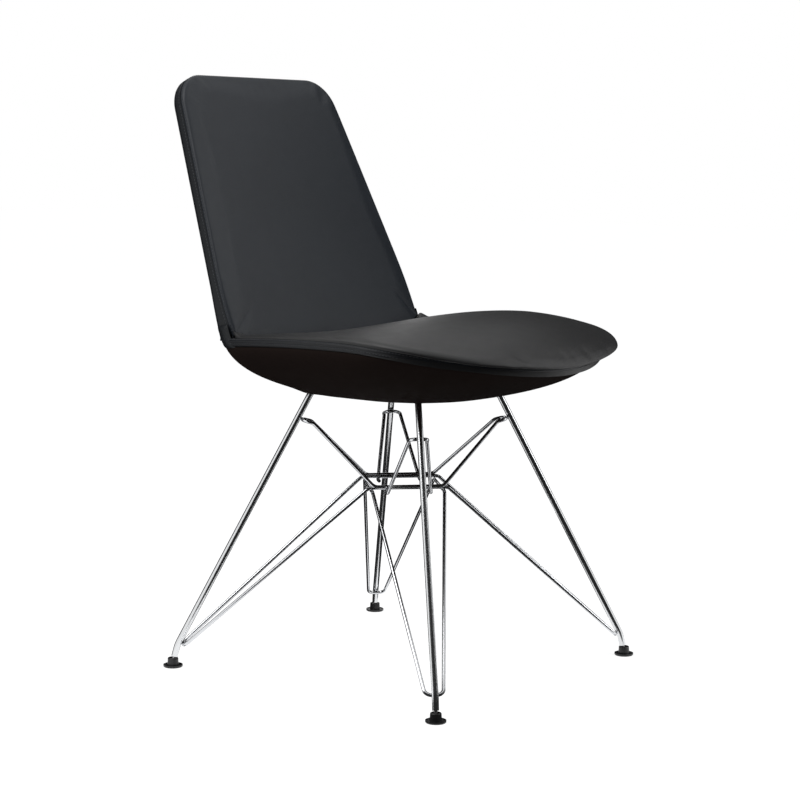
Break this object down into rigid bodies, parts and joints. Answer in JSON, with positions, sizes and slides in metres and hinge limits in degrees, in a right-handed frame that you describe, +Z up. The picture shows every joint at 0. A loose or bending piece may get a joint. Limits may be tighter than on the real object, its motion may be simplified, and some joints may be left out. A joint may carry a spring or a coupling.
{
  "type": "upholstered dining chair",
  "caption": "Armless dining chair: a padded shell seat and back in black leather on splayed chromed rods braced by bent wires, with tilting floor glides.",
  "frame": {"origin": "on the floor, under the middle of the chair's outline", "axes": "+Z up, the sitter faces -Y, +X is the sitter's left"},
  "size_m": [0.487, 0.5774, 0.8204],
  "materials": {
    "leg_chrome": "polished chrome plating",
    "wire_chrome": "polished chrome plating",
    "stud_steel": "bare steel",
    "glide_plastic": "satin black moulded plastic",
    "plate_paint": "black powder coat",
    "fastener_steel": "zinc plated",
    "board_wood": "raw moulded plywood",
    "underside_leather": "black leather, semi-matt",
    "band_leather": "black leather, semi-matt, topstitched",
    "seat_leather": "black leather, semi-matt, fine grain",
    "back_leather": "black leather, semi-matt, fine grain",
    "cover_leather": "black leather, semi-matt, topstitched"
  },
  "bodies": {
    "chair": {"leg_front_right": "leg_chrome", "ball_stud_front_right": "stud_steel", "leg_front_left": "leg_chrome", "ball_stud_front_left": "stud_steel", "leg_rear_right": "leg_chrome", "ball_stud_rear_right": "stud_steel", "leg_rear_left": "leg_chrome", "ball_stud_rear_left": "stud_steel", "lower_brace_front_run": "wire_chrome", "lower_brace_back_run": "wire_chrome", "lower_brace_right_run": "wire_chrome", "lower_brace_left_run": "wire_chrome", "upper_brace_front_run": "wire_chrome", "upper_brace_back_run": "wire_chrome", "hairpin_front_right": "wire_chrome", "hairpin_rear_left": "wire_chrome", "mount_plate": "plate_paint", "mount_screws": "fastener_steel", "washers": "fastener_steel", "tee_nuts": "fastener_steel", "inner_board": "board_wood", "seat_underside": "underside_leather", "seat_band": "band_leather", "seat_cushion": "seat_leather", "back_cushion": "back_leather", "back_cover": "cover_leather"},
    "front_right_glide": {"glide_front_right": "glide_plastic"},
    "front_left_glide": {"glide_front_left": "glide_plastic"},
    "rear_right_glide": {"glide_rear_right": "glide_plastic"},
    "rear_left_glide": {"glide_rear_left": "glide_plastic"}
  },
  "joints": [
    {"name": "front_right_glide_tilt", "type": "hinge", "parent": "chair", "child": "front_right_glide", "pos_m": [-0.23, -0.23767, 0.0065], "axis": [-0.7009, 0.7133, 0], "range_deg": [-3, 15]},
    {"name": "front_left_glide_tilt", "type": "hinge", "parent": "chair", "child": "front_left_glide", "pos_m": [0.23, -0.23767, 0.0065], "axis": [-0.7009, -0.7133, 0], "range_deg": [-3, 15]},
    {"name": "rear_right_glide_tilt", "type": "hinge", "parent": "chair", "child": "rear_right_glide", "pos_m": [-0.23, 0.21433, 0.0065], "axis": [0.7009, 0.7133, 0], "range_deg": [-3, 15]},
    {"name": "rear_left_glide_tilt", "type": "hinge", "parent": "chair", "child": "rear_left_glide", "pos_m": [0.23, 0.21433, 0.0065], "axis": [0.7009, -0.7133, 0], "range_deg": [-3, 15]}
  ]
}
